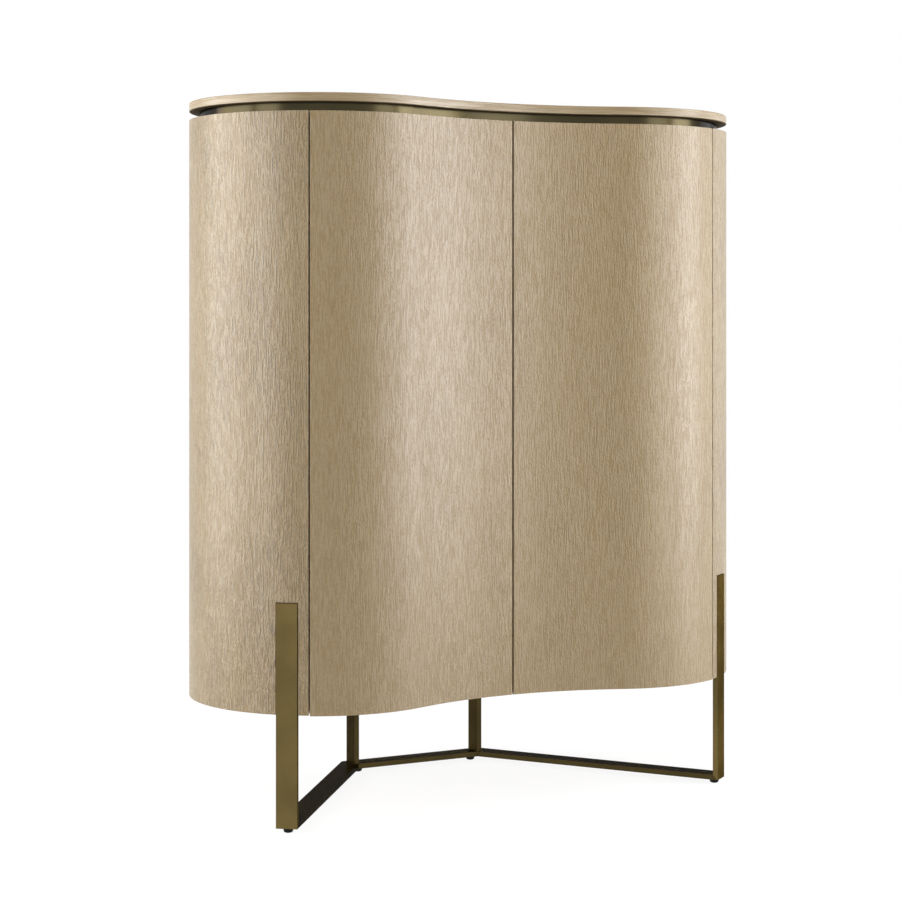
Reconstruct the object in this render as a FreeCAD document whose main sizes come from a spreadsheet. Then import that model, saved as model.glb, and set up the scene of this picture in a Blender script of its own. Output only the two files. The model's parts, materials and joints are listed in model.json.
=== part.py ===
import FreeCAD, Part
import math
import os
from types import SimpleNamespace

import Sketcher

# A highboard on a bean-shaped plan: two round lobes, a hollow front between them and a flat back.
# Millimetres and degrees. Origin on the floor under the middle, front to -Y, +Z up.

SIZES = {
    # plan of the body
    "lobe_offset": 276,
    "lobe_radius": 224,
    "hollow_radius": 511,
    "seam_angle": 61,
    "back_return": 40,
    # heights
    "body_lift": 189.5,
    "body_height": 965.5,
    "recess_height": 14.5,
    "top_thickness": 14.5,
    "top_edge_chamfer": 1,
    "recess_inset": 18,
    "band_thickness": 1.2,
    # panels
    "shell_thickness": 18,
    "door_thickness": 18,
    "panel_thickness": 18,
    "divider_thickness": 18,
    "back_thickness": 16,
    "back_gap": 1,
    "door_play": 2.5,
    "door_top_gap": 0.3,
    "door_bottom_drop": 1,
    "centre_gap": 2.5,
    "meeting_bevel": 2,
    "edge_chamfer": 0.6,
    "divider_setback": 4,
    # shelves
    "shelf_thickness": 18,
    "shelf_setback": 30,
    "shelf_clearance": 1.5,
    "shelf_front_angle": 50,
    "lower_shelf_height": 298,
    "upper_shelf_height": 614,
    "shelf_pin_radius": 2.5,
    "shelf_pin_hold": 8,
    "shelf_pin_reach": 10,
    "shelf_pin_front": 90,
    "shelf_pin_back": 110,
    "shelf_rest_gap": 0.05,
    # offset pivot hinges let into the carcass and into the doors' end grain
    "pivot_setback": 22,
    "door_skin": 3,
    "leaf_nose": 4.5,
    "leaf_thickness": 3,
    "leaf_gap": 1.3,
    "leaf_seat_length": 32,
    "leaf_seat_width": 22,
    "door_leaf_length": 46,
    "recess_clearance": 0.5,
    "swing_clearance": 0.8,
    "hinge_relief": 1.5,
    "hinge_pin_radius": 2.5,
    "hinge_pin_tail": 4,
    "running_clearance": 0.05,
    "washer_thickness": 1,
    # push latches behind the meeting edges
    "latch_offset": 38,
    "latch_width": 16,
    "latch_height": 14,
    "latch_length": 60,
    "latch_setback": 6,
    "latch_flange_width": 38,
    "latch_flange_length": 24,
    "latch_flange_thickness": 3,
    "plunger_radius": 4,
    "plunger_chamfer": 1.5,
    "plunger_grip": 30,
    "plunger_travel": 3,
    "plunger_gap": 0.4,
    "strike_radius": 9,
    "strike_thickness": 1.5,
    # flat-bar base
    "bar_width": 35,
    "bar_thickness": 9,
    "wing_angle": 53.3,
    "leg_proud": 0.7,
    "leg_rise": 178.5,
    "leg_from_seam": 36.5,
    "post_inset": 14,
    "groove_gap": 1.2,
    "plate_length": 90,
    "plate_thickness": 4,
    "plate_screw_inset": 10,
    # levelling feet
    "foot_height": 8,
    "foot_radius": 8,
    "foot_base_radius": 4.5,
    "foot_flare_radius": 7.2,
    "foot_flare_height": 1.4,
    "foot_shoulder": 3.4,
    "front_foot_inset": 12.5,
    "rear_foot_inset": 15,
    "stem_radius": 3,
    "stem_grip": 7,
    "stem_root": 5,
    "stem_end_gap": 0.5,
    # screws
    "screw_head_radius": 3.4,
    "screw_head_height": 1.6,
    "screw_radius": 1.8,
    "screw_length": 14,
    "back_screw_length": 36,
    "back_screw_spacing": 130,
    "leg_screw_head_radius": 6,
    "leg_screw_head_height": 3.5,
    "leg_screw_radius": 3,
    "leg_screw_bite": 7,
    "leg_screw_seat": 0.6,
    "leg_screw_low": 45,
    "leg_screw_high": 140,
}

DEGREES = 180 / math.pi
Z_AXIS = FreeCAD.Vector(0, 0, 1)


class Expr:
    """A size formula: its text drives the document, its number places the first geometry."""

    def __init__(self, text, value):
        self.text = text
        self.value = value

    def __add__(self, other):
        other = as_expr(other)
        return Expr(f"({self.text} + {other.text})", self.value + other.value)

    def __sub__(self, other):
        other = as_expr(other)
        return Expr(f"({self.text} - {other.text})", self.value - other.value)

    def __rsub__(self, other):
        return as_expr(other) - self

    def __mul__(self, other):
        other = as_expr(other)
        return Expr(f"({self.text} * {other.text})", self.value * other.value)

    def __truediv__(self, other):
        other = as_expr(other)
        return Expr(f"({self.text} / {other.text})", self.value / other.value)

    def __pow__(self, power):
        return Expr(f"({self.text}^{power})", self.value ** power)

    def __neg__(self):
        return Expr(f"(-1 * {self.text})", -self.value)

    __radd__ = __add__
    __rmul__ = __mul__


def as_expr(size):
    return size if isinstance(size, Expr) else Expr(repr(float(size)), float(size))


def root(size):
    return Expr(f"sqrt({size.text})", math.sqrt(size.value))


def sine(angle):
    return Expr(f"sin({angle.text})", math.sin(angle.value / DEGREES))


def cosine(angle):
    return Expr(f"cos({angle.text})", math.cos(angle.value / DEGREES))


def arcsine(ratio):
    return Expr(f"(asin({ratio.text}) / 1 deg)", math.asin(ratio.value) * DEGREES)


doc = FreeCAD.newDocument("highboard")
sheet = doc.addObject("Spreadsheet::Sheet", "Dims")
for row, (alias, size) in enumerate(SIZES.items(), start=1):
    sheet.set(f"A{row}", alias)
    sheet.set(f"B{row}", str(size))
    sheet.setAlias(f"B{row}", alias)
doc.recompute()
d = SimpleNamespace(**{alias: Expr(f"Dims.{alias}", float(sheet.get(alias))) for alias in SIZES})
nodes = []


# Places worked out from the driving dimensions

def arc_angle(length):
    """Angle that a length along the lobe's outer face covers."""
    return length * DEGREES / d.lobe_radius


hollow_centre = root((d.lobe_radius + d.hollow_radius) ** 2 - d.lobe_offset ** 2)
body_top = d.body_lift + d.body_height
slab_bottom = body_top + d.recess_height
inner_floor = d.body_lift + d.panel_thickness
inner_ceiling = body_top - d.panel_thickness
inner_height = inner_ceiling - inner_floor
door_bottom = d.body_lift - d.door_bottom_drop
door_top = body_top - d.door_top_gap
carcass_front = d.door_thickness + d.door_play
inner_radius = d.lobe_radius - d.shell_thickness

pivot_depth = d.door_skin + d.recess_clearance + d.leaf_nose
door_swing = root(d.pivot_setback ** 2 + pivot_depth ** 2) - d.pivot_setback
half_seam = (door_swing + d.swing_clearance) / 2
shell_end_angle = d.seam_angle - arc_angle(half_seam)
door_start_angle = d.seam_angle + arc_angle(half_seam)
pivot_angle = door_start_angle + arc_angle(d.pivot_setback)
tail_reach = root(d.pivot_setback ** 2 + (d.door_thickness - pivot_depth) ** 2)
relief_radius = tail_reach + d.hinge_relief
leaf_neck = relief_radius + d.recess_clearance
door_leaf_turn = d.door_leaf_length * DEGREES / (d.lobe_radius - pivot_depth) / 2
door_leaf_angle = pivot_angle - 90 + door_leaf_turn

leg_angle = d.seam_angle - arc_angle(d.leg_from_seam)
leg_turn = d.wing_angle + 180
leg_top = d.body_lift + d.leg_rise
bar_top = d.foot_height + d.bar_thickness
half_bar = d.bar_width / 2
stem_hole_radius = d.stem_radius + d.running_clearance
stem_hole_depth = d.stem_grip + d.stem_end_gap

latch_radius = d.hollow_radius + d.door_thickness
latch_turn = arcsine(d.latch_offset / latch_radius)
latch_front = d.hollow_radius + carcass_front + d.latch_setback
latch_height = inner_ceiling - d.latch_height / 2


def lobe_point(depth, angle):
    """Point on the left lobe, so deep under the outer face, measured round from its outer end."""
    radius = d.lobe_radius - depth
    return -(d.lobe_offset + radius * cosine(angle)), -(radius * sine(angle))


def flank_point(depth):
    """Point where the left lobe's curve runs into the hollow front."""
    share = (d.lobe_radius - depth) / (d.lobe_radius + d.hollow_radius)
    return -(d.lobe_offset - d.lobe_offset * share), -(hollow_centre * share)


def hollow_point(depth, offset):
    """Point on the hollow front, left of the middle by offset."""
    return -as_expr(offset), root((d.hollow_radius + depth) ** 2 - as_expr(offset) ** 2) - hollow_centre


def flipped(point):
    return -as_expr(point[0]), as_expr(point[1])


def in_frame(base, turn, along, across):
    """A point of a turned frame, in the object's plan."""
    x = base[0] + along * cosine(turn) - across * sine(turn)
    y = base[1] + along * sine(turn) + across * cosine(turn)
    return x, y


pivot = lobe_point(pivot_depth, pivot_angle)
leg_face = lobe_point(-d.leg_proud, leg_angle)
bar_reach = half_bar * cosine(d.wing_angle)
wing_outer_end = (leg_face[1] + bar_reach - d.lobe_radius) / sine(d.wing_angle)
wing_inner_end = (leg_face[1] - bar_reach - d.lobe_radius + d.bar_width) / sine(d.wing_angle)
rail_outer = -in_frame(leg_face, leg_turn, wing_outer_end, -half_bar)[0]
rail_inner = -in_frame(leg_face, leg_turn, wing_inner_end, half_bar)[0]
post_offset = rail_outer - d.post_inset
rear_foot = (rail_outer + rail_inner) / 2 - d.rear_foot_inset, d.lobe_radius - half_bar
front_foot = in_frame(leg_face, leg_turn, -d.front_foot_inset, as_expr(0))


# Modelling helpers

def bind(item, path, size):
    item.setExpression(path, as_expr(size).text)


def place(item, base=(0, 0, 0), turn=0):
    """Stand an object at a point, turned about the vertical."""
    for axis, size in zip("xyz", base):
        bind(item, f"Placement.Base.{axis}", size)
    bind(item, "Placement.Rotation.Angle", turn)


def keep(item, label):
    item.Label = label
    nodes.append(item)
    return item


def new_body(label, base=(0, 0, 0), turn=0):
    body = doc.addObject("PartDesign::Body", label)
    place(body, base, turn)
    return body


def new_sketch(body, base=(0, 0, 0), turn=0, role="XY_Plane"):
    sketch = body.newObject("Sketcher::SketchObject", "Sketch")
    support = next(item for item in body.Origin.OriginFeatures if item.Role == role)
    sketch.AttachmentSupport = (support, "")
    sketch.MapMode = "FlatFace"
    for axis, size in zip("xyz", base):
        bind(sketch, f"AttachmentOffset.Base.{axis}", size)
    bind(sketch, "AttachmentOffset.Rotation.Angle", turn)
    return sketch


def constrain(sketch, size, kind, *target):
    index = sketch.addConstraint(Sketcher.Constraint(kind, *target, as_expr(size).value))
    sketch.setExpression(f"Constraints[{index}]", as_expr(size).text)


def fix_point(sketch, geometry, end, point):
    constrain(sketch, point[0], "DistanceX", -1, 1, geometry, end)
    constrain(sketch, point[1], "DistanceY", -1, 1, geometry, end)


def add_circle(sketch, radius, point=(0, 0)):
    centre = FreeCAD.Vector(as_expr(point[0]).value, as_expr(point[1]).value, 0)
    circle = sketch.addGeometry(Part.Circle(centre, Z_AXIS, as_expr(radius).value))
    constrain(sketch, radius, "Radius", circle)
    fix_point(sketch, circle, 3, point)


def arc_between(start, end, radius, turn):
    """Arc of less than a half circle; turn is 1 to the left and -1 to the right."""
    chord = end - start
    rise = math.sqrt(radius ** 2 - (chord.Length / 2) ** 2)
    left = FreeCAD.Vector(-chord.y, chord.x, 0).normalize()
    centre = (start + end) / 2 + left * rise * turn
    first, last = (start, end) if turn > 0 else (end, start)
    angles = [math.atan2(point.y - centre.y, point.x - centre.x) for point in (first, last)]
    if angles[1] < angles[0]:
        angles[1] += 2 * math.pi
    return Part.ArcOfCircle(Part.Circle(centre, Z_AXIS, radius), *angles)


def add_loop(sketch, corners):
    """Closed outline. A corner is (x, y), or (x, y, radius, turn) where an arc runs to the next one."""
    points = [FreeCAD.Vector(as_expr(corner[0]).value, as_expr(corner[1]).value, 0) for corner in corners]
    edges = []
    for index, corner in enumerate(corners):
        start = points[index]
        end = points[(index + 1) % len(points)]
        if len(corner) == 2:
            edges.append((sketch.addGeometry(Part.LineSegment(start, end)), 1, 2))
            continue
        radius, turn = corner[2:]
        arc = sketch.addGeometry(arc_between(start, end, as_expr(radius).value, turn))
        edges.append((arc, 1, 2) if turn > 0 else (arc, 2, 1))
    for edge, following in zip(edges, edges[1:] + edges[:1]):
        sketch.addConstraint(Sketcher.Constraint("Coincident", edge[0], edge[2], following[0], following[1]))
    for edge, corner in zip(edges, corners):
        fix_point(sketch, edge[0], edge[1], corner)
        if len(corner) > 2:
            constrain(sketch, corner[2], "Radius", edge[0])


def rectangle(low, high):
    return [low, (high[0], low[1]), high, (low[0], high[1])]


def pad(body, sketch, length, symmetric=False):
    feature = body.newObject("PartDesign::Pad", "Pad")
    feature.Profile = sketch
    feature.SideType = "Symmetric" if symmetric else "One side"
    bind(feature, "Length", length)
    doc.recompute()
    return feature


def pocket(body, sketch, depth, forward=False, symmetric=False):
    """Cut against the sketch's normal, or along it when forward."""
    before = body.Shape.Volume
    feature = body.newObject("PartDesign::Pocket", "Pocket")
    feature.Profile = sketch
    feature.SideType = "Symmetric" if symmetric else "One side"
    feature.Reversed = forward
    bind(feature, "Length", depth)
    doc.recompute()
    if not body.Shape.Volume < before:
        raise RuntimeError(f"{body.Label}: a pocket cuts nothing")
    return feature


def revolve(body, sketch, axis):
    feature = body.newObject("PartDesign::Revolution", "Revolution")
    feature.Profile = sketch
    feature.ReferenceAxis = (sketch, [axis])
    doc.recompute()
    return feature


def dress_edges(body, kind, size, wanted):
    """Fillet or chamfer the edges of the body's last feature that pass the test."""
    base = body.Tip
    names = [f"Edge{index}" for index, edge in enumerate(base.Shape.Edges, start=1) if wanted(edge)]
    feature = body.newObject(f"PartDesign::{kind}", kind)
    feature.Base = (base, names)
    bind(feature, "Radius" if kind == "Fillet" else "Size", size)
    doc.recompute()


def ease_uprights(body, corners):
    """Chamfer the upright edges that stand over the given points of the plan."""
    def wanted(edge):
        place_in_plan = FreeCAD.Vector(edge.CenterOfMass.x, edge.CenterOfMass.y, 0)
        return min((place_in_plan - corner).Length for corner in corners) < d.edge_chamfer.value / 2

    dress_edges(body, "Chamfer", d.edge_chamfer, wanted)


def block(label, low, high):
    """Square-edged board or bar between two corners."""
    box = doc.addObject("Part::Box", label)
    for side, axis in zip(("Length", "Width", "Height"), range(3)):
        bind(box, side, as_expr(high[axis]) - low[axis])
    place(box, low)
    return box


def rod(label, radius, length, base, direction=Z_AXIS):
    cylinder = doc.addObject("Part::Cylinder", label)
    bind(cylinder, "Radius", radius)
    bind(cylinder, "Height", length)
    cylinder.Placement.Rotation = FreeCAD.Rotation(Z_AXIS, direction)
    for axis, size in zip("xyz", base):
        bind(cylinder, f"Placement.Base.{axis}", size)
    return cylinder


def group(label, members):
    compound = doc.addObject("Part::Compound", label)
    compound.Links = members
    return compound


def drilled(blank, *tools):
    """The blank with the seats of the given pieces cut out of it."""
    for tool in tools:
        cut = doc.addObject("Part::Cut", f"{blank.Label}_seated")
        cut.Base = blank
        cut.Tool = tool
        blank = cut
    doc.recompute()
    return blank


def keep_pair(item, name):
    """Keep a left-hand piece and its mirrored right-hand twin; a star in the name takes the side."""
    keep(item, name.replace("*", "left"))
    twin = doc.addObject("Part::Mirroring", name.replace("*", "right"))
    twin.Source = item
    twin.Normal = FreeCAD.Vector(1, 0, 0)
    keep(twin, name.replace("*", "right"))


def turned(profile):
    """Solid of revolution about +Z from (radius, height) points."""
    points = [FreeCAD.Vector(radius, 0, height) for radius, height in profile]
    face = Part.Face(Part.makePolygon(points + points[:1]))
    return face.revolve(FreeCAD.Vector(), Z_AXIS, 360)


def countersunk_screw(length):
    head, shank = d.screw_head_radius.value, d.screw_radius.value
    return turned([(0, 0), (head, 0), (shank, d.screw_head_height.value), (shank, length), (0, length)])


def machine_screw(length):
    head, shank = d.leg_screw_head_radius.value, d.leg_screw_radius.value
    top = -d.leg_screw_head_height.value
    return turned([(0, top), (head, top), (head, 0), (shank, 0), (shank, length), (0, length)])


def numbers(*sizes):
    return FreeCAD.Vector(*[as_expr(size).value for size in sizes])


def screw_group(label, screw, seats):
    """Copies of one screw, each with its head seated at a point and its shank along a direction."""
    copies = []
    for point, direction in seats:
        copy = screw.copy()
        copy.Placement = FreeCAD.Placement(point, FreeCAD.Rotation(Z_AXIS, direction))
        copies.append(copy)
    feature = doc.addObject("Part::Feature", label)
    feature.Shape = Part.makeCompound(copies)
    return feature


def both_sides(seats):
    """Seats on the left, followed by the same seats mirrored to the right."""
    def flip(vector):
        return FreeCAD.Vector(-vector.x, vector.y, vector.z)
    return seats + [(flip(point), flip(direction)) for point, direction in seats]


def plan_outline(depth):
    """Whole bean-shaped outline, so deep inside the outer face."""
    radius = d.lobe_radius - depth
    end = d.lobe_offset + radius
    flank = flank_point(depth)
    return [
        (-d.lobe_offset, radius, radius, 1),
        (-end, 0, radius, 1),
        (*flank, d.hollow_radius + depth, -1),
        (*flipped(flank), radius, 1),
        (end, 0, radius, 1),
        (d.lobe_offset, radius),
    ]


def carcass_outline():
    """Outline inside the shells, stepping back behind the doors between the outer seams."""
    radius = d.lobe_radius - carcass_front
    end = d.lobe_offset + inner_radius
    wall = lobe_point(d.shell_thickness, d.seam_angle)
    front = lobe_point(carcass_front, d.seam_angle)
    flank = flank_point(carcass_front)
    return [
        (-d.lobe_offset, inner_radius, inner_radius, 1),
        (-end, 0, inner_radius, 1),
        wall,
        (*front, radius, 1),
        (*flank, d.hollow_radius + carcass_front, -1),
        (*flipped(flank), radius, 1),
        flipped(front),
        (*flipped(wall), inner_radius, 1),
        (end, 0, inner_radius, 1),
        (d.lobe_offset, inner_radius),
    ]


def cabinet_leaf_outline():
    """Narrow neck with a round nose at the pivot and a wide screwed seat."""
    nose = d.leaf_nose
    half = d.leaf_seat_width / 2
    end = leaf_neck + d.leaf_seat_length
    return [
        (0, nose, nose, 1), (-nose, 0, nose, 1), (0, -nose), (leaf_neck, -nose), (leaf_neck, -half),
        (end, -half), (end, half), (leaf_neck, half), (leaf_neck, nose),
    ]


def door_leaf_outline():
    nose = d.leaf_nose
    return [(0, nose, nose, 1), (-nose, 0, nose, 1), (0, -nose), (d.door_leaf_length, -nose),
            (d.door_leaf_length, nose)]


def swing_recess_outline():
    """Corner of the door's end grain that the fixed leaf passes over, from closed to square open."""
    edge = d.leaf_nose + d.recess_clearance
    inward = d.door_thickness - pivot_depth + edge
    tail = d.pivot_setback + edge
    return [(inward, -edge), (0, -edge, edge, -1), (-edge, 0), (-edge, tail), (inward, tail)]


# Screws come first, because their seats are cut from the pieces that they hold

def leaf_screw_seats(base, turn, start, length, height, direction):
    """Two seats along a hinge leaf, a quarter of its screwed length from each end."""
    seats = []
    for share in (0.25, 0.75):
        x, y = in_frame(base, turn, start + length * share, as_expr(0))
        seats.append((numbers(x, y, height), direction))
    return seats


def make_cabinet_leaf_screws():
    seats = []
    for height, direction in ((body_top, -Z_AXIS), (d.body_lift, Z_AXIS)):
        seats += leaf_screw_seats(pivot, pivot_angle, leaf_neck, d.leaf_seat_length, height, direction)
    screw = countersunk_screw(d.screw_length.value)
    return screw_group("cabinet_leaf_screws", screw, both_sides(seats))


def door_leaf_heights():
    """Outer faces of the top and bottom door leaves."""
    step = d.leaf_thickness + d.leaf_gap
    return body_top - step, d.body_lift + step


def make_door_leaf_screws():
    top, bottom = door_leaf_heights()
    start = d.leaf_nose * 2
    length = d.door_leaf_length - start
    seats = leaf_screw_seats(pivot, door_leaf_angle, start, length, top, -Z_AXIS)
    seats += leaf_screw_seats(pivot, door_leaf_angle, start, length, bottom, Z_AXIS)
    return screw_group("left_door_leaf_screws", countersunk_screw(d.screw_length.value), seats)


def make_latch_screws():
    turn = latch_turn + 90
    along = latch_front + d.latch_flange_length / 2
    across = (d.latch_width + d.latch_flange_width) / 4
    height = inner_ceiling - d.latch_flange_thickness
    seats = []
    for side in (-1, 1):
        x, y = in_frame((as_expr(0), -hollow_centre), turn, along, across * side)
        seats.append((numbers(x, y, height), Z_AXIS))
    return screw_group("latch_screws", countersunk_screw(d.screw_length.value), both_sides(seats))


def make_leg_screws():
    depth = d.leg_proud + d.shell_thickness - d.leg_screw_seat
    length = depth - d.bar_thickness + d.leg_screw_bite
    x, y = in_frame(leg_face, leg_turn, -depth, as_expr(0))
    direction = numbers(cosine(leg_turn), sine(leg_turn), 0)
    seats = [(numbers(x, y, d.body_lift + rise), direction) for rise in (d.leg_screw_low, d.leg_screw_high)]
    return screw_group("leg_screws", machine_screw(length.value), both_sides(seats))


def make_post_plate_screws():
    height = d.body_lift - d.plate_thickness
    reach = (d.plate_length + d.bar_thickness) / 4
    y = inner_radius - d.plate_screw_inset
    seats = [(numbers(side * reach - post_offset, y, height), Z_AXIS) for side in (-1, 1)]
    return screw_group("post_plate_screws", countersunk_screw(d.screw_length.value), both_sides(seats))


def make_back_panel_screws():
    y = inner_radius + d.back_thickness
    inward = FreeCAD.Vector(0, -1, 0)
    seats = []
    for height in (d.body_lift + d.panel_thickness / 2, body_top - d.panel_thickness / 2):
        for step in (-1.5, -0.5, 0.5, 1.5):
            seats.append((numbers(d.back_screw_spacing * step, y, height), inward))
    for share in (0.25, 0.5, 0.75):
        seats.append((numbers(0, y, inner_floor + inner_height * share), inward))
    return screw_group("back_panel_screws", countersunk_screw(d.back_screw_length.value), seats)


cabinet_leaf_screws = make_cabinet_leaf_screws()
door_leaf_screws = make_door_leaf_screws()
latch_screws = make_latch_screws()
leg_screws = make_leg_screws()
post_plate_screws = make_post_plate_screws()
back_panel_screws = make_back_panel_screws()


# Top

def make_top_panel():
    body = new_body("top_panel")
    sketch = new_sketch(body, (0, 0, slab_bottom))
    add_loop(sketch, plan_outline(0))
    pad(body, sketch, d.top_thickness)
    chamfer = d.top_edge_chamfer
    dress_edges(body, "Chamfer", chamfer, lambda edge: edge.BoundBox.ZLength < chamfer.value)
    keep(body, "top_panel")


def make_recess():
    """Shadow gap: a spacer and the metal strip wrapped round it."""
    core = new_body("recess_core")
    sketch = new_sketch(core, (0, 0, body_top))
    add_loop(sketch, plan_outline(d.recess_inset + d.band_thickness))
    pad(core, sketch, d.recess_height)
    keep(core, "recess_core")
    band = new_body("recess_band")
    sketch = new_sketch(band, (0, 0, body_top))
    add_loop(sketch, plan_outline(d.recess_inset))
    add_loop(sketch, plan_outline(d.recess_inset + d.band_thickness))
    pad(band, sketch, d.recess_height)
    keep(band, "recess_band")


# Carcass

def make_carcass_panel(label, bottom, leaf_face, leaf_upward, tools):
    """Board with a hollow round each pivot for the door's tail and a seat for each hinge leaf."""
    body = new_body(f"{label}_blank")
    sketch = new_sketch(body, (0, 0, bottom))
    add_loop(sketch, carcass_outline())
    pad(body, sketch, d.panel_thickness)
    sketch = new_sketch(body, (0, 0, bottom))
    add_circle(sketch, relief_radius, pivot)
    add_circle(sketch, relief_radius, flipped(pivot))
    pocket(body, sketch, d.panel_thickness, forward=True)
    for point, turn in ((pivot, pivot_angle), (flipped(pivot), 180 - pivot_angle)):
        sketch = new_sketch(body, (*point, leaf_face), turn)
        add_loop(sketch, cabinet_leaf_outline())
        pocket(body, sketch, d.leaf_thickness, forward=leaf_upward)
    keep(drilled(body, *tools), label)


def make_side_shells():
    """Bent panel from the outer door seam round the end to the back, grooved for the front leg."""
    body = new_body("side_shell_blank")
    sketch = new_sketch(body, (0, 0, d.body_lift))
    back_end = d.back_return - d.lobe_offset
    seam_corner = lobe_point(as_expr(0), shell_end_angle)
    add_loop(sketch, [
        (*seam_corner, d.lobe_radius, -1),
        (-(d.lobe_offset + d.lobe_radius), 0, d.lobe_radius, -1),
        (-d.lobe_offset, d.lobe_radius),
        (back_end, d.lobe_radius),
        (back_end, inner_radius),
        (-d.lobe_offset, inner_radius, inner_radius, 1),
        (-(d.lobe_offset + inner_radius), 0, inner_radius, 1),
        lobe_point(d.shell_thickness, shell_end_angle),
    ])
    pad(body, sketch, d.body_height)
    ease_uprights(body, [numbers(*seam_corner)])
    sketch = new_sketch(body, (*leg_face, d.body_lift), leg_turn)
    half = half_bar + d.groove_gap
    add_loop(sketch, rectangle((-d.bar_thickness, -half), (d.bar_thickness, half)))
    pocket(body, sketch, d.leg_rise + d.groove_gap, forward=True)
    keep_pair(drilled(body, leg_screws, left_shelf_pins), "*_side_shell")


def make_back_panel():
    half = d.lobe_offset - d.back_return - d.back_gap
    board = block("back_panel_blank", (-half, inner_radius, d.body_lift),
                  (half, inner_radius + d.back_thickness, body_top))
    keep(drilled(board, back_panel_screws), "back_panel")


def make_centre_divider():
    half = d.divider_thickness / 2
    front = d.hollow_radius + carcass_front + d.divider_setback - hollow_centre
    board = block("centre_divider_blank", (-half, front, inner_floor), (half, inner_radius, inner_ceiling))
    pins = (left_shelf_pins, right_shelf_pins)
    keep(drilled(board, back_panel_screws, *pins), "centre_divider")


def shelf_heights():
    return {"lower": inner_floor + d.lower_shelf_height, "upper": inner_floor + d.upper_shelf_height}


def make_shelf_pins():
    """Four pins under each left-hand shelf, two in the divider and two in the shell."""
    pins = []
    length = d.shelf_pin_hold + d.shelf_pin_reach
    outward = FreeCAD.Vector(-1, 0, 0)
    for height in shelf_heights().values():
        z = height - d.shelf_pin_radius - d.shelf_rest_gap
        for y in (-d.shelf_pin_front, d.shelf_pin_back):
            wall = d.lobe_offset + root(inner_radius ** 2 - y ** 2)
            starts = (d.shelf_pin_hold - d.divider_thickness / 2, d.shelf_pin_reach - wall)
            for start in starts:
                pins.append(rod("shelf_pin", d.shelf_pin_radius, length, (start, y, z), outward))
    return group("left_shelf_pins", pins)


def make_shelves():
    """Board parallel to the doors in front, to the shell at the end and to the back."""
    side = d.divider_thickness / 2 + d.shelf_clearance
    radius = inner_radius - d.shelf_clearance
    depth = d.door_thickness + d.shelf_setback
    for name, height in shelf_heights().items():
        body = new_body(f"{name}_shelf")
        sketch = new_sketch(body, (0, 0, height))
        add_loop(sketch, [
            (-side, radius),
            (-d.lobe_offset, radius, radius, 1),
            (-(d.lobe_offset + radius), 0, radius, 1),
            lobe_point(d.lobe_radius - radius, d.shelf_front_angle),
            (*lobe_point(depth, d.shelf_front_angle), d.lobe_radius - depth, 1),
            (*flank_point(depth), d.hollow_radius + depth, -1),
            hollow_point(depth, side),
        ])
        pad(body, sketch, d.shelf_thickness)
        keep_pair(body, f"*_{name}_shelf")


# Doors

def make_doors():
    """S-curved door with a bevelled meeting edge and end-grain seats for its pivot hinges."""
    body = new_body("door_blank")
    sketch = new_sketch(body, (0, 0, door_bottom))
    half_gap = d.centre_gap / 2
    thickness = d.door_thickness
    outer_flank = flank_point(as_expr(0))
    add_loop(sketch, [
        (*lobe_point(as_expr(0), door_start_angle), d.lobe_radius, 1),
        (*outer_flank, d.hollow_radius, -1),
        hollow_point(as_expr(0), half_gap),
        (*hollow_point(thickness, half_gap + d.meeting_bevel), d.hollow_radius + thickness, 1),
        (*flank_point(thickness), d.lobe_radius - thickness, -1),
        lobe_point(thickness, door_start_angle),
    ])
    pad(body, sketch, door_top - door_bottom)
    hinge_corner = lobe_point(as_expr(0), door_start_angle)
    meeting_corner = hollow_point(as_expr(0), half_gap)
    corners = [numbers(*hinge_corner), numbers(*meeting_corner)]
    ease_uprights(body, corners)
    for face, gap, upward in ((door_top, d.door_top_gap, False), (door_bottom, -d.door_bottom_drop, True)):
        recess = d.leaf_thickness + d.leaf_gap - gap
        sketch = new_sketch(body, (*pivot, face), pivot_angle)
        add_loop(sketch, swing_recess_outline())
        pocket(body, sketch, recess, forward=upward)
        sketch = new_sketch(body, (*pivot, face), door_leaf_angle)
        add_loop(sketch, door_leaf_outline())
        pocket(body, sketch, recess + d.leaf_thickness, forward=upward)
        sketch = new_sketch(body, (*pivot, face))
        add_circle(sketch, d.hinge_pin_radius + d.recess_clearance)
        depth = recess + d.leaf_thickness + d.hinge_pin_tail + d.recess_clearance
        pocket(body, sketch, depth, forward=upward)
    keep_pair(drilled(body, left_strike_plate, door_leaf_screws), "*_door")


def make_strike_plate():
    """Steel disc let into the door's inner face, square to the plunger."""
    body = new_body("strike_plate", (0, -hollow_centre, latch_height), latch_turn + 90)
    sketch = new_sketch(body, (0, 0, latch_radius - d.strike_thickness), role="YZ_Plane")
    add_circle(sketch, d.strike_radius)
    pad(body, sketch, d.strike_thickness)
    return body


# Pivot hinges

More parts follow.
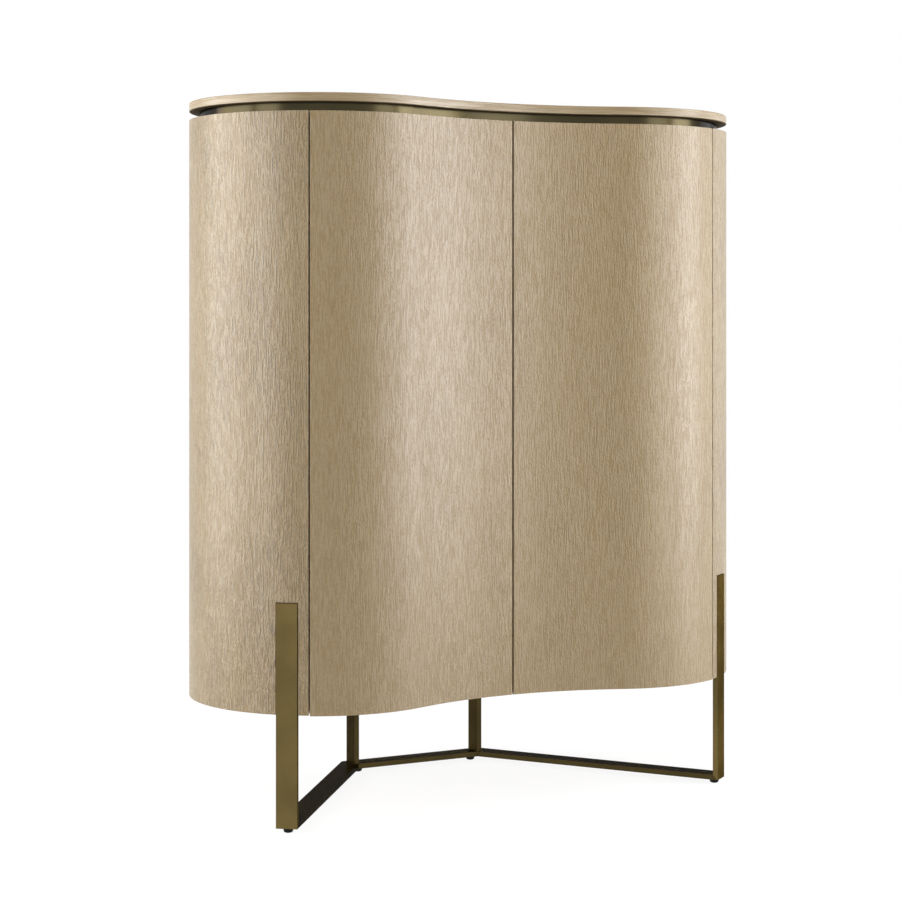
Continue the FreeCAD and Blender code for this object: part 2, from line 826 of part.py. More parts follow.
def make_hinges():
    """Fixed leaf, pin and washer on the carcass, and the leaf that turns with the door."""
    pins = []
    washers = []
    inward = {"top": -1, "bottom": 1}
    faces = {"top": body_top, "bottom": d.body_lift}
    pin_length = d.leaf_thickness * 2 + d.leaf_gap + d.hinge_pin_tail
    for end, sign in inward.items():
        def layer(outer_depth, thickness):
            """Lower face of a layer that starts so deep inside the carcass's end face."""
            inner_depth = outer_depth + thickness
            return faces[end] - inner_depth if sign < 0 else faces[end] + outer_depth

        cabinet_leaf_bottom = layer(as_expr(0), d.leaf_thickness)
        body = new_body(f"{end}_cabinet_leaf_blank", (*pivot, cabinet_leaf_bottom), pivot_angle)
        sketch = new_sketch(body)
        add_loop(sketch, cabinet_leaf_outline())
        add_circle(sketch, d.hinge_pin_radius)
        pad(body, sketch, d.leaf_thickness)
        keep_pair(drilled(body, cabinet_leaf_screws), f"*_{end}_cabinet_leaf")

        start = d.leaf_thickness + d.leaf_gap
        body = new_body(f"{end}_door_leaf_blank", (*pivot, layer(start, d.leaf_thickness)), door_leaf_angle)
        sketch = new_sketch(body)
        add_loop(sketch, door_leaf_outline())
        add_circle(sketch, d.hinge_pin_radius + d.running_clearance)
        pad(body, sketch, d.leaf_thickness)
        keep_pair(drilled(body, door_leaf_screws), f"*_{end}_door_leaf")

        pin_base = layer(as_expr(0), pin_length)
        pins.append(rod(f"{end}_hinge_pin", d.hinge_pin_radius, pin_length, (*pivot, pin_base)))
        body = new_body(f"{end}_hinge_washer", (*pivot, layer(d.leaf_thickness, d.washer_thickness)))
        sketch = new_sketch(body)
        add_circle(sketch, d.leaf_nose)
        add_circle(sketch, d.hinge_pin_radius + d.running_clearance)
        pad(body, sketch, d.washer_thickness)
        washers.append(body)
    keep_pair(group("left_hinge_pins", pins), "*_hinge_pins")
    keep_pair(group("left_hinge_washers", washers), "*_hinge_washers")


# Push latches

def make_latches():
    """Flanged housing under the carcass top, its bore square to the door, and the sprung plunger."""
    turn = latch_turn + 90
    body = new_body("push_latch_blank", (0, -hollow_centre, 0), turn)
    half_flange = d.latch_flange_width / 2
    sketch = new_sketch(body, (0, 0, inner_ceiling - d.latch_flange_thickness))
    flange_back = latch_front + d.latch_flange_length
    add_loop(sketch, rectangle((latch_front, -half_flange), (flange_back, half_flange)))
    pad(body, sketch, d.latch_flange_thickness)
    half = d.latch_width / 2
    sketch = new_sketch(body, (0, 0, inner_ceiling - d.latch_height))
    add_loop(sketch, rectangle((latch_front, -half), (latch_front + d.latch_length, half)))
    pad(body, sketch, d.latch_height)
    sketch = new_sketch(body, (0, latch_height, latch_front), role="YZ_Plane")
    add_circle(sketch, d.plunger_radius + d.running_clearance)
    pocket(body, sketch, d.plunger_grip + d.plunger_travel + d.recess_clearance, forward=True)
    keep_pair(drilled(body, latch_screws), "*_push_latch")

    tip = latch_radius + d.plunger_gap
    radius = d.plunger_radius
    chamfer = d.plunger_chamfer
    end = latch_front + d.plunger_grip
    body = new_body("latch_plunger", (0, -hollow_centre, latch_height), turn)
    sketch = new_sketch(body)
    add_loop(sketch, [(tip, 0), (end, 0), (end, radius), (tip + chamfer, radius), (tip, radius - chamfer)])
    revolve(body, sketch, "H_Axis")
    keep_pair(body, "*_latch_plunger")


# Base

def make_front_legs():
    """Flat bar up the outside of the shell, mitred into the wing rail at the floor."""
    body = new_body("front_leg_blank", (*leg_face, 0), leg_turn)
    sketch = new_sketch(body, role="XZ_Plane")
    back = -d.bar_thickness
    add_loop(sketch, [(0, d.foot_height), (0, leg_top), (back, leg_top), (back, bar_top)])
    pad(body, sketch, d.bar_width, symmetric=True)
    keep_pair(drilled(body, leg_screws), "*_front_leg")


def make_wing_rails():
    """Flat bar lying under the lobe, mitred to the leg in front and to the back rail behind."""
    body = new_body("wing_rail", (*leg_face, 0), leg_turn)
    sketch = new_sketch(body, (0, 0, d.foot_height))
    add_loop(sketch, [(0, -half_bar), (0, half_bar), (wing_inner_end, half_bar), (wing_outer_end, -half_bar)])
    pad(body, sketch, d.bar_thickness)
    sketch = new_sketch(body, role="XZ_Plane")
    add_loop(sketch, [(0, d.foot_height), (0, bar_top), (-d.bar_thickness, bar_top)])
    pocket(body, sketch, d.bar_width, symmetric=True)
    sketch = new_sketch(body, (0, 0, d.foot_height))
    add_circle(sketch, stem_hole_radius, (-d.front_foot_inset, 0))
    pocket(body, sketch, stem_hole_depth, forward=True)
    keep_pair(body, "*_wing_rail")


def make_back_rail():
    body = new_body("back_rail")
    sketch = new_sketch(body, (0, 0, d.foot_height))
    back = d.lobe_radius
    front = d.lobe_radius - d.bar_width
    add_loop(sketch, [(-rail_outer, back), (-rail_inner, front), (rail_inner, front), (rail_outer, back)])
    pad(body, sketch, d.bar_thickness)
    sketch = new_sketch(body, (0, 0, d.foot_height))
    add_circle(sketch, stem_hole_radius, rear_foot)
    add_circle(sketch, stem_hole_radius, flipped(rear_foot))
    pocket(body, sketch, stem_hole_depth, forward=True)
    keep(body, "back_rail")


def make_rear_posts():
    """Flat bars from the rail corners up to screwed plates under the body."""
    front = d.lobe_radius - d.bar_width
    plate_bottom = d.body_lift - d.plate_thickness
    half = d.bar_thickness / 2
    post = block("rear_post", (-(post_offset + half), front, bar_top),
                 (half - post_offset, d.lobe_radius, plate_bottom))
    keep_pair(post, "*_rear_post")
    half = d.plate_length / 2
    plate = block("post_plate_blank", (-(post_offset + half), front, plate_bottom),
                  (half - post_offset, d.lobe_radius, d.body_lift))
    keep_pair(drilled(plate, post_plate_screws), "*_post_plate")


def make_feet():
    """Blunt levelling feet on threaded stems."""
    radius, top = d.foot_radius, d.foot_height
    stem_bottom = d.foot_height - d.stem_root
    rear = -rear_foot[0], rear_foot[1]
    for name, point in (("front", front_foot), ("rear", rear)):
        body = new_body(f"{name}_foot", (*point, 0))
        sketch = new_sketch(body, role="XZ_Plane")
        add_loop(sketch, [
            (0, 0),
            (d.foot_base_radius, 0),
            (d.foot_flare_radius, d.foot_flare_height),
            (radius, d.foot_shoulder),
            (radius, top),
            (d.stem_radius, top),
            (d.stem_radius, stem_bottom),
            (0, stem_bottom),
        ])
        revolve(body, sketch, "V_Axis")
        keep_pair(body, f"{name}_*_foot")
        stem = rod(f"{name}_stem", d.stem_radius, d.stem_root + d.stem_grip, (*point, stem_bottom))
        keep_pair(stem, f"{name}_*_foot_stem")


left_shelf_pins = make_shelf_pins()
keep_pair(left_shelf_pins, "*_shelf_pins")
right_shelf_pins = nodes[-1]
left_strike_plate = make_strike_plate()
keep_pair(left_strike_plate, "*_strike_plate")
keep_pair(door_leaf_screws, "*_door_leaf_screws")
for screws in (cabinet_leaf_screws, latch_screws, leg_screws, post_plate_screws, back_panel_screws):
    keep(screws, screws.Name)

make_top_panel()
make_recess()
top_tools = (cabinet_leaf_screws, latch_screws, back_panel_screws)
bottom_tools = (cabinet_leaf_screws, post_plate_screws, back_panel_screws)
make_carcass_panel("carcass_top", inner_ceiling, body_top, False, top_tools)
make_carcass_panel("bottom_panel", d.body_lift, d.body_lift, True, bottom_tools)
make_side_shells()
make_back_panel()
make_centre_divider()
make_shelves()
make_doors()
make_hinges()
make_latches()
make_front_legs()
make_wing_rails()
make_back_rail()
make_rear_posts()
make_feet()

doc.recompute()
for item in doc.Objects:
    if {"Invalid", "Error"} & set(item.State):
        raise RuntimeError(f"{item.Label} failed: {item.State}")
for node in nodes:
    if node.Shape.isNull() or not node.Shape.isValid() or not node.Shape.Solids:
        raise RuntimeError(f"{node.Label} has no valid solid")

os.makedirs("parts", exist_ok=True)
for node in nodes:
    node.Shape.exportStep(f"parts/{node.Label}.step")
    print(node.Label, len(node.Shape.Solids), round(node.Shape.Volume, 1))
print(len(nodes), "nodes")
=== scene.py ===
import json
import math

import bpy
import numpy
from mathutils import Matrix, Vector


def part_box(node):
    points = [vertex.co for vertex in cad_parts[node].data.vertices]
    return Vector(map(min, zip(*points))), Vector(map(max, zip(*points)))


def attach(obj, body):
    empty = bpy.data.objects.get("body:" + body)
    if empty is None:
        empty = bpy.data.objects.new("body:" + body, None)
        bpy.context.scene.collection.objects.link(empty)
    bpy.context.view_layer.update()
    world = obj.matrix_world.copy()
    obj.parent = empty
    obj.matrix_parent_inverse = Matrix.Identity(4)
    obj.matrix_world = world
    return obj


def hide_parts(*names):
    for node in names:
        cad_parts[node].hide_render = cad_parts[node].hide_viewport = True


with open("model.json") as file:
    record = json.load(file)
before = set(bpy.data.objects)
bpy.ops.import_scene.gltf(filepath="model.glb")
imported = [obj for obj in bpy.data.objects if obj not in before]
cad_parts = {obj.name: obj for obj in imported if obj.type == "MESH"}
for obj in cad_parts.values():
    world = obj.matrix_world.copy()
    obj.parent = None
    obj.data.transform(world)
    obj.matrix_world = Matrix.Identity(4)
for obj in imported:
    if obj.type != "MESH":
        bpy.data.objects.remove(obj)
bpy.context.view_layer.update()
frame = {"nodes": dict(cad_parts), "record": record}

nodes = frame["nodes"]
scene = bpy.context.scene
SIDES = ("left", "right")
FEET = [f"{end}_{side}" for end in ("front", "rear") for side in SIDES]


# Shader nodes

class Wire:
    """A node's output that takes part in Python arithmetic by adding Math nodes."""

    def __init__(self, board, socket):
        self.board = board
        self.socket = socket

    def math(self, operation, *values):
        return self.board.node("Math", {"operation": operation}, dict(enumerate(values)))

    def __add__(self, other):
        return self.math("ADD", self, other)

    def __sub__(self, other):
        return self.math("SUBTRACT", self, other)

    def __rsub__(self, other):
        return self.math("SUBTRACT", other, self)

    def __mul__(self, other):
        return self.math("MULTIPLY", self, other)

    __radd__ = __add__
    __rmul__ = __mul__

    def at_least(self, other):
        return self.math("MAXIMUM", self, other)


class NodeBoard:
    """Short ways to add nodes to a material or to the world."""

    def __init__(self, owner):
        owner.use_nodes = True
        self.tree = owner.node_tree

    def node(self, kind, settings=None, sockets=None, output=0):
        node = self.tree.nodes.new("ShaderNode" + kind)
        for name, setting in (settings or {}).items():
            setattr(node, name, setting)
        for name, value in (sockets or {}).items():
            self.feed(node.inputs[name], value)
        return Wire(self, node.outputs[output])

    def feed(self, socket, value):
        if isinstance(value, Wire):
            self.tree.links.new(value.socket, socket)
        else:
            socket.default_value = value

    def seen_rays(self):
        """1 for camera, glossy and transmission rays, 0 for the rays that only carry light."""
        camera, glossy, clear = (self.node("LightPath", output=f"Is {ray} Ray")
                                 for ray in ("Camera", "Glossy", "Transmission"))
        return camera.at_least(glossy).at_least(clear)


class Finish(NodeBoard):
    """A piece's material."""

    def __init__(self, name):
        self.material = bpy.data.materials.new(name)
        super().__init__(self.material)
        self.shader = self.tree.nodes["Principled BSDF"]
        self.place = self.node("TexCoord", output="Object")

    def surface(self, sockets):
        for name, value in sockets.items():
            self.feed(self.shader.inputs[name], value)
        return self.material

    def stretched(self, scale, offset=(0, 0, 0)):
        return self.node("Mapping", None, {"Vector": self.place, "Location": offset, "Scale": scale})

    def moved(self, vector, push):
        return self.node("VectorMath", {"operation": "ADD"}, {0: vector, 1: push})

    def part(self, vector, axis):
        return self.node("SeparateXYZ", None, {0: vector}, output=axis)

    def noise(self, vector, detail, output=0):
        return self.node("TexNoise", None, {"Vector": vector, "Scale": 1.0, "Detail": detail}, output)

    def between(self, value, low, high):
        """0 on low's side, 1 on high's side, smooth between."""
        return self.node("MapRange", {"interpolation_type": "SMOOTHSTEP"}, {
            "Value": value, "From Min": low, "From Max": high})

    def blend(self, factor, first, second):
        settings = {"data_type": "RGBA", "clamp_factor": True}
        return self.node("Mix", settings, {0: factor, 6: first, 7: second}, output=2)

    def bump(self, height, distance, strength, normal=None):
        sockets = {"Height": height, "Distance": distance, "Strength": strength}
        if normal is not None:
            sockets["Normal"] = normal
        return self.node("Bump", None, sockets)

    def soft_edges(self, radius):
        """The surface's normal with its sharp edges eased over that radius."""
        return self.node("Bevel", {"samples": 6}, {"Radius": radius})

    def facing(self):
        return self.node("NewGeometry", output="Normal")


def srgb(red, green, blue):
    """Colour as it looks on a screen, 0 to 255, turned into shader values."""
    def linear(value):
        value /= 255
        return value / 12.92 if value <= 0.04045 else ((value + 0.055) / 1.055) ** 2.4
    return linear(red), linear(green), linear(blue), 1.0


# Finishes

def brushed_oak(name, along, tone=(149, 126, 85), relief=1.0, lipped_with_painted_underside_shade=False, painted_light_ends=False):
    """Limed oak veneer, wire-brushed into short wavering ridges; along is the grain's direction, x, y or z.
    A lipped board's edge is veneered too, with its grain running round the edge, and its underside gets
    painted
    shade: a dark brown colour and no coat. Pale ends are painted light: a pale colour on the front end faces
    that look into the seams beside the doors."""
    finish = Finish(name)

    def grain(across, lengthwise, offset=(0, 0, 0)):
        return finish.stretched([lengthwise if axis == along else across for axis in "xyz"], offset)

    def shade(step):
        return srgb(*[value + step * part for value, part in zip(tone, (1.0, 1.12, 1.25))])

    wander = finish.node("VectorMath", {"operation": "SCALE"}, {
        0: finish.noise(grain(45, 22), 1, "Color"), "Scale": 0.3})
    ridges = finish.noise(finish.moved(grain(560, 220), wander), 0)
    streaks = finish.noise(finish.moved(grain(620, 42, (3, 7, 1)), wander), 0)
    patches = finish.between(finish.noise(grain(13, 4.5, (4, 0, 2)), 1), 0.3, 0.7)
    leaves = finish.between(finish.noise(grain(7, 0.6, (8, 3, 6)), 1), 0.3, 0.7)
    brushing = ridges * 0.42 + streaks * 0.58
    roughness = 0.42
    if lipped_with_painted_underside_shade:
        lines = finish.noise(finish.moved(finish.stretched((14, 14, 700)), wander), 1)
        upward = finish.part(finish.facing(), "Z")
        edge = finish.between(upward * upward, 0.6, 0.2)
        # Painted shade mask: the faces that look down, the slab's underside, where shade falls under it.
        underside_painted_shade = finish.between(upward, -0.4, -0.8)
        brushing = brushing + edge * (lines - brushing)
        roughness = 0.7 - edge * 0.28
    raised = finish.between(brushing, 0.4, 0.6)
    gloss = raised * 0.45 + 0.5
    colour = finish.blend(raised, shade(-4), shade(3))
    colour = finish.blend(leaves * 0.15, colour, shade(-22))
    if lipped_with_painted_underside_shade:
        # Painted shade on the underside: dark brown colour, and the coat is taken off so it reflects nothing.
        colour = finish.blend(underside_painted_shade, colour, srgb(72, 58, 36))
        gloss = gloss * (edge * 0.85 + 0.15) * (1.0 - underside_painted_shade)
    if painted_light_ends:
        # Painted light: the front end faces that look into the seams beside the doors are coloured pale, where
        # the gap would be in shade.
        across, depth = (finish.part(finish.place, axis) for axis in "XY")
        sideways, forward = (finish.part(finish.facing(), axis) for axis in "XY")
        end = finish.between(sideways * across, -0.2, -0.3) * finish.between(forward, -0.3, -0.45)
        seam_painted_light = end * finish.between(depth, -0.1, -0.15)
        colour = finish.blend(seam_painted_light, colour, srgb(236, 222, 194))
    height = brushing * (patches * 0.5 + 0.6)
    return finish.surface({
        "Base Color": colour,
        "Roughness": roughness,
        "Specular IOR Level": 0.3,
        "Coat Weight": gloss,
        "Coat Roughness": 0.39,
        "Coat IOR": 1.8,
        "Normal": finish.bump(height, 0.0026 * relief, 1.0, finish.soft_edges(0.0009)),
    })


def lacquered_bronze(name, tone, rim, roughness=0.42, lacquer=0.0):
    """Satin bronze lacquer on steel, with a faint cloudy tone; rim is its tone seen at a low angle."""
    finish = Finish(name)
    cloud = finish.noise(finish.stretched((14, 14, 14)), 3)
    fleck = finish.noise(finish.stretched((900, 900, 900)), 1)
    deep = srgb(*[value * 0.88 for value in tone])
    return finish.surface({
        "Base Color": finish.blend(finish.between(cloud, 0.3, 0.7), deep, srgb(*tone)),
        "Metallic": 1.0,
        "Specular Tint": srgb(*rim),
        "Roughness": roughness + cloud * 0.08 + fleck * 0.05,
        "Coat Weight": lacquer,
        "Coat Roughness": 0.16,
        "Normal": finish.bump(fleck, 0.0001, 0.25, finish.soft_edges(0.0007)),
    })


def satin_steel(name):
    finish = Finish(name)
    drawn = finish.noise(finish.stretched((1400, 60, 1400)), 2)
    cloud = finish.noise(finish.stretched((60, 60, 60)), 2)
    return finish.surface({
        "Base Color": finish.blend(cloud, srgb(176, 176, 174), srgb(200, 200, 198)),
        "Metallic": 1.0,
        "Roughness": 0.24 + drawn * 0.16,
        "Normal": finish.bump(drawn, 0.00005, 0.3),
    })


def moulded_plastic(name, tone, roughness=0.5, gloss=0.5):
    finish = Finish(name)
    spark = finish.noise(finish.stretched((1500, 1500, 1500)), 1)
    cloud = finish.noise(finish.stretched((80, 80, 80)), 2)
    pale = srgb(*[value * 1.06 for value in tone])
    return finish.surface({
        "Base Color": finish.blend(cloud, srgb(*tone), pale),
        "Roughness": roughness + spark * 0.15,
        "Specular IOR Level": gloss,
        "Normal": finish.bump(spark, 0.00008, 0.35),
    })


INNER_TONE = (157, 135, 96)
SLAB_TONE = (158, 136, 97)
upright_oak = brushed_oak("upright_oak", "z")
# The shells get painted light on their front end faces, inside the door seams.
shell_oak = brushed_oak("shell_oak", "z", relief=2.4, painted_light_ends=True)
# The slab's underside gets painted shade.
slab_oak = brushed_oak("slab_oak", "x", SLAB_TONE, lipped_with_painted_underside_shade=True)
inner_oak = brushed_oak("inner_oak", "z", INNER_TONE, relief=0.6)
shelf_oak = brushed_oak("shelf_oak", "x", INNER_TONE, relief=0.6)
leg_bronze = lacquered_bronze("leg_bronze", (107, 93, 57), (90, 82, 56))
base_bronze = lacquered_bronze("base_bronze", (72, 62, 36), (92, 83, 56), lacquer=0.04)
strip_bronze = lacquered_bronze("strip_bronze", (62, 54, 30), (52, 45, 26), roughness=0.16, lacquer=0.3)
steel = satin_steel("satin_steel")
foot_plastic = moulded_plastic("black_foot_plastic", (6, 6, 6), roughness=0.3, gloss=0.15)
latch_plastic = moulded_plastic("grey_latch_plastic", (120, 120, 118))
washer_plastic = moulded_plastic("nylon_washer", (214, 212, 204))

SLOT_FINISHES = {
    "oak_veneer": upright_oak,
    "inner_board": inner_oak,
    "bronze": base_bronze,
    "band_metal": strip_bronze,
    "steel": steel,
    "foot_black": foot_plastic,
    "latch_grey": latch_plastic,
    "washer_nylon": washer_plastic,
}
NODE_FINISHES = {"top_panel": slab_oak, "carcass_top": shelf_oak, "bottom_panel": shelf_oak}
for side in SIDES:
    NODE_FINISHES[f"{side}_side_shell"] = shell_oak
    NODE_FINISHES[f"{side}_front_leg"] = leg_bronze
    for level in ("lower", "upper"):
        NODE_FINISHES[f"{side}_{level}_shelf"] = shelf_oak

for subpart in frame["record"]["subparts"]:
    piece = nodes[subpart["node"]]
    piece.data.materials.clear()
    piece.data.materials.append(NODE_FINISHES.get(piece.name, SLOT_FINISHES[subpart["material_slot"]]))


# Screws and feet

def new_mesh_object(name, points, faces):
    mesh = bpy.data.meshes.new(name)
    mesh.from_pydata(points, [], faces)
    item = bpy.data.objects.new(name, mesh)
    scene.collection.objects.link(item)
    return item


def separate_solids(node):
    """The corner points of each separate solid in a CAD node."""
    mesh = nodes[node].data
    corners = [tuple(round(value, 6) for value in vertex.co) for vertex in mesh.vertices]
    joined = {corner: corner for corner in corners}

    def first(corner):
        while joined[corner] != corner:
            corner = joined[corner]
        return corner

    for edge in mesh.edges:
        start, end = (first(corners[index]) for index in edge.vertices)
        joined[start] = end
    solids = {}
    for corner in joined:
        solids.setdefault(first(corner), []).append(Vector(corner))
    return list(solids.values())


def seat_of(points):
    """Where a screw's head top is, the direction its shank points, and its length."""
    middle = sum(points, Vector()) / len(points)
    spread = numpy.array([point - middle for point in points])
    axis = Vector(numpy.linalg.svd(spread, full_matrices=False)[2][0])
    reach = [(point - middle).dot(axis) for point in points]
    low, high = min(reach), max(reach)

    def width(level):
        ring = [point - middle - axis * step for point, step in zip(points, reach) if abs(step - level) < 1e-4]
        return max(offset.length for offset in ring)

    if width(low) > width(high):
        return middle + axis * low, axis, high - low
    return middle + axis * high, -axis, high - low


class Turning:
    """Points and faces of a turned piece; its rings run down from the head along its own axis."""

    def __init__(self, sides):
        self.sides = sides
        self.points = []
        self.faces = []

    def ring(self, radius, depth):
        """A ring of points; radius is a length, or a function that gives it at each angle."""
        start = len(self.points)
        for index in range(self.sides):
            angle = 2 * math.pi * index / self.sides
            reach = radius(angle) if callable(radius) else radius
            self.points.append(Vector((reach * math.cos(angle), reach * math.sin(angle), depth)))
        return start

    def step(self, above, radius, depth):
        """A ring joined to the ring above it."""
        below = self.ring(radius, depth)
        for index in range(self.sides):
            following = (index + 1) % self.sides
            self.faces.append((above + index, above + following, below + following, below + index))
        return below

    def cap(self, ring, downward):
        loop = [ring + index for index in range(self.sides)]
        self.faces.append(tuple(loop if downward else reversed(loop)))

    def thread(self, above, core, crest, pitch, start, end):
        """A helical thread from start to end, joined to the ring above it."""
        steps = max(2, round((end - start) / pitch * 4))
        for step in range(1, steps + 1):
            depth = start + (end - start) * step / steps

            def flank(angle, depth=depth):
                turn = (depth / pitch - angle / (2 * math.pi)) % 1.0
                return core + (crest - core) * (1 - abs(2 * turn - 1))

            above = self.step(above, flank, depth)
        return above

    def drive(self, radius, socket, depth):
        """A flat head top with a recess of that outline, and the ring that the head goes on from."""
        rim = self.ring(radius, 0)
        mouth = len(self.points)
        self.points += [Vector((x, y, 0)) for x, y in socket]
        floor = len(self.points)
        self.points += [Vector((x * 0.7, y * 0.7, depth)) for x, y in socket]
        count = len(socket)
        for index in range(count):
            following = (index + 1) % count
            self.faces.append((mouth + index, floor + index, floor + following, mouth + following))
        self.faces.append(tuple(floor + index for index in reversed(range(count))))
        share = self.sides // count
        for index in range(count):
            following = (index + 1) % count
            arc = [rim + (index * share + step) % self.sides for step in range(share + 1)]
            self.faces.append((*reversed(arc), mouth + index, mouth + following))
        return rim

    def hung_from(self, top):
        """Points and faces of the piece with its axis pointing down from that place."""
        points = [top + Vector((point.x, point.y, -point.z)) for point in self.points]
        return points, [tuple(reversed(face)) for face in self.faces]


def cross_socket(reach):
    """Outline of a cross recess, twelve corners from the first arm's flank round."""
    half = reach * 0.3
    arm = [(reach, -half), (reach, half), (half, half)]
    outline = []
    for quarter in range(4):
        cosine, sine = math.cos(quarter * math.pi / 2), math.sin(quarter * math.pi / 2)
        outline += [(x * cosine - y * sine, x * sine + y * cosine) for x, y in arm]
    return outline


def hex_socket(reach):
    return [(reach * math.cos(step * math.pi / 3), reach * math.sin(step * math.pi / 3)) for step in range(6)]


def wood_screw(length):
    """Countersunk, cross recessed, with a coarse thread that runs out to a point."""
    head, shank, pitch = 0.0034, 0.0018, 0.0016
    head_edge, cone, plain, point = 0.0002, 0.0017, 0.0022, 0.003
    screw = Turning(24)
    last = screw.drive(head * 0.97, cross_socket(head * 0.6), 0.0013)
    last = screw.step(last, head, head_edge)
    last = screw.step(last, shank * 0.8, cone)
    last = screw.thread(last, shank * 0.7, shank, pitch, plain, length - point)
    last = screw.step(last, 0.0002, length)
    screw.cap(last, True)
    return screw


def socket_screw(length):
    """Round head with a hexagon socket and a fine thread."""
    head, shank, pitch, seat = 0.006, 0.003, 0.001, 0.0035
    screw = Turning(24)
    last = screw.drive(head * 0.8, hex_socket(head * 0.42), 0.0022)
    for share, depth in ((0.92, 0.0005), (0.985, 0.0013), (1.0, 0.0024), (1.0, seat)):
        last = screw.step(last, head * share, depth)
    last = screw.step(last, shank * 0.86, seat)
    last = screw.thread(last, shank * 0.84, shank, pitch, seat + 0.0004, length - 0.0006)
    last = screw.step(last, shank * 0.75, length)
    screw.cap(last, True)
    return screw


def dress_piece(name, node, body, points, faces, material):
    """A detailed piece in place of a CAD node, on the same body and slot."""
    piece = new_mesh_object(name, points, faces)
    piece.data.materials.append(material)
    for polygon in piece.data.polygons:
        polygon.use_smooth = True
    piece.data.set_sharp_from_angle(angle=math.radians(32))
    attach(piece, body)
    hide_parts(node)


def fit_screws(node, body, make):
    """Detailed screws in place of a CAD node's plain ones."""
    points = []
    faces = []
    for solid in separate_solids(node):
        place, direction, length = seat_of(solid)
        screw = make(length)
        turn = direction.to_track_quat("Z", "Y")
        start = len(points)
        points += [place + turn @ point for point in screw.points]
        faces += [tuple(index + start for index in face) for face in screw.faces]
    dress_piece(f"threaded_{node}", node, body, points, faces, steel)


def top_centre(node):
    low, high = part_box(node)
    return Vector(((low[0] + high[0]) / 2, (low[1] + high[1]) / 2, high[2]))


def fit_foot(name):
    """Rounded black foot and its threaded stem."""
    node, body = f"{name}_foot", f"{name}_level"
    foot = Turning(40)
    last = foot.ring(0.0031, 0)
    foot.cap(last, False)
    for radius, depth in ((0.0073, 0), (0.0078, 0.0002), (0.008, 0.0007), (0.008, 0.0045), (0.0077, 0.0055),
                          (0.0071, 0.0065), (0.0061, 0.0073), (0.005, 0.0078), (0.0042, 0.008)):
        last = foot.step(last, radius, depth)
    foot.cap(last, True)
    points, faces = foot.hung_from(top_centre(node))
    dress_piece(f"rounded_{node}", node, body, points, faces, foot_plastic)

    low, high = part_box(f"{node}_stem")
    stem = Turning(20)
    core, crest, pitch, chamfer = 0.0025, 0.003, 0.001, 0.0004
    last = stem.ring(0.0024, 0)
    stem.cap(last, False)
    last = stem.thread(last, core, crest, pitch, chamfer, high[2] - low[2])
    stem.cap(last, True)
    points, faces = stem.hung_from(top_centre(f"{node}_stem"))
    dress_piece(f"threaded_{name}_stem", f"{node}_stem", body, points, faces, steel)


for node in ("cabinet_leaf_screws", "latch_screws", "post_plate_screws", "back_panel_screws"):
    fit_screws(node, "cabinet", wood_screw)
fit_screws("leg_screws", "cabinet", socket_screw)
for side in SIDES:
    fit_screws(f"{side}_door_leaf_screws", f"{side}_door_swing", wood_screw)
for name in FEET:
    fit_foot(name)


# Studio

CAMERA_PLACE = (-1.7697, -3.4027, 0.8358)
CAMERA_YAW = 27.046
CAMERA_LENS = 87.48
CAMERA_SHIFT = -0.1552
AMBIENT = 0.06
FLOOR_REACH = 40
SHADOW_REACH, WHITE_REACH = 0.9, 1.9
LAMP_AIM = (0, 0, 0.85)
LAMP_LEVEL = 1.32
LAMP_TALL = 2.6


def grey(value):
    return value, value, value, 1


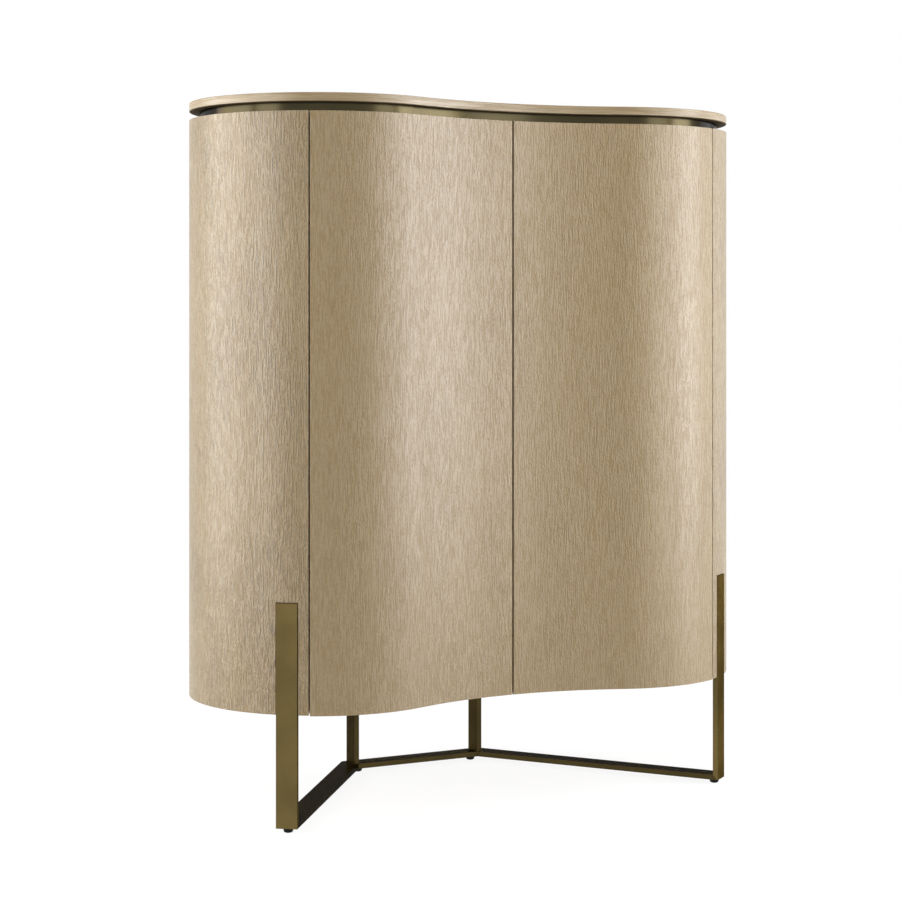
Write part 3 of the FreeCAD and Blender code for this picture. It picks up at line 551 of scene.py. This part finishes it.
def make_floor():
    """White floor that keeps a faint shadow close to the feet and fades to plain white further out."""
    far = FLOOR_REACH
    corners = [(-far, -far, 0), (far, -far, 0), (far, far, 0), (-far, far, 0)]
    floor = new_mesh_object("studio_floor", corners, [(0, 1, 2, 3)])
    finish = Finish("studio_floor")
    distance = finish.node("VectorMath", {"operation": "LENGTH"}, {0: finish.place}, output="Value")
    away = finish.between(distance, SHADOW_REACH, WHITE_REACH)
    lit = finish.node("BsdfDiffuse", None, {"Color": grey(0.16)})
    glow = finish.node("Emission", None, {"Color": grey(1), "Strength": 0.91})
    white = finish.node("Emission", None, {"Color": grey(1), "Strength": 1.0})
    near = finish.node("AddShader", None, {0: lit, 1: glow})
    shown = finish.node("MixShader", None, {0: away, 1: near, 2: white})
    bounce = finish.node("BsdfDiffuse", None, {"Color": grey(0.88)})
    mixed = finish.node("MixShader", None, {0: finish.seen_rays(), 1: bounce, 2: shown})
    finish.feed(finish.tree.nodes["Material Output"].inputs["Surface"], mixed)
    floor.data.materials.append(finish.material)


def make_world():
    """White surround for the rays that are seen, with only a little light of its own."""
    world = bpy.data.worlds.new("studio_world")
    scene.world = world
    board = NodeBoard(world)
    background = board.tree.nodes["Background"]
    board.feed(background.inputs["Color"], grey(1))
    board.feed(background.inputs["Strength"], board.seen_rays() * (1 - AMBIENT) + AMBIENT)


def make_softbox(name, place, size, power, target=LAMP_AIM):
    lamp = bpy.data.lights.new(name, "AREA")
    lamp.shape = "RECTANGLE"
    lamp.size, lamp.size_y = size
    lamp.energy = power
    item = bpy.data.objects.new(name, lamp)
    item.location = place
    item.rotation_euler = (Vector(target) - Vector(place)).to_track_quat("-Z", "Y").to_euler()
    item.visible_camera = False
    scene.collection.objects.link(item)


def make_camera():
    data = bpy.data.cameras.new("camera")
    data.lens = CAMERA_LENS
    data.sensor_width = 36
    data.shift_y = CAMERA_SHIFT
    item = bpy.data.objects.new("camera", data)
    item.location = CAMERA_PLACE
    item.rotation_euler = (math.radians(90), 0, -math.radians(CAMERA_YAW))
    scene.collection.objects.link(item)
    scene.camera = item


make_floor()
make_world()
make_softbox("left_softbox", (-2.4, 0.9, LAMP_LEVEL), (1.9, LAMP_TALL), 60)
make_softbox("right_softbox", (2.15, -1.46, LAMP_LEVEL), (0.9, LAMP_TALL), 50)
make_softbox("right_edge_softbox", (2.6, 0.15, LAMP_LEVEL), (0.9, LAMP_TALL), 10)
make_softbox("front_fill", (1.3, -2.25, LAMP_LEVEL), (0.9, LAMP_TALL), 20)
make_softbox("left_fill", (-2.51, -0.67, LAMP_LEVEL), (0.9, LAMP_TALL), 24)
make_softbox("top_softbox", (0, -0.3, 3.4), (2.4, 2.4), 28, target=(0, 0, 0.8))
make_camera()
scene.view_settings.view_transform = "Standard"
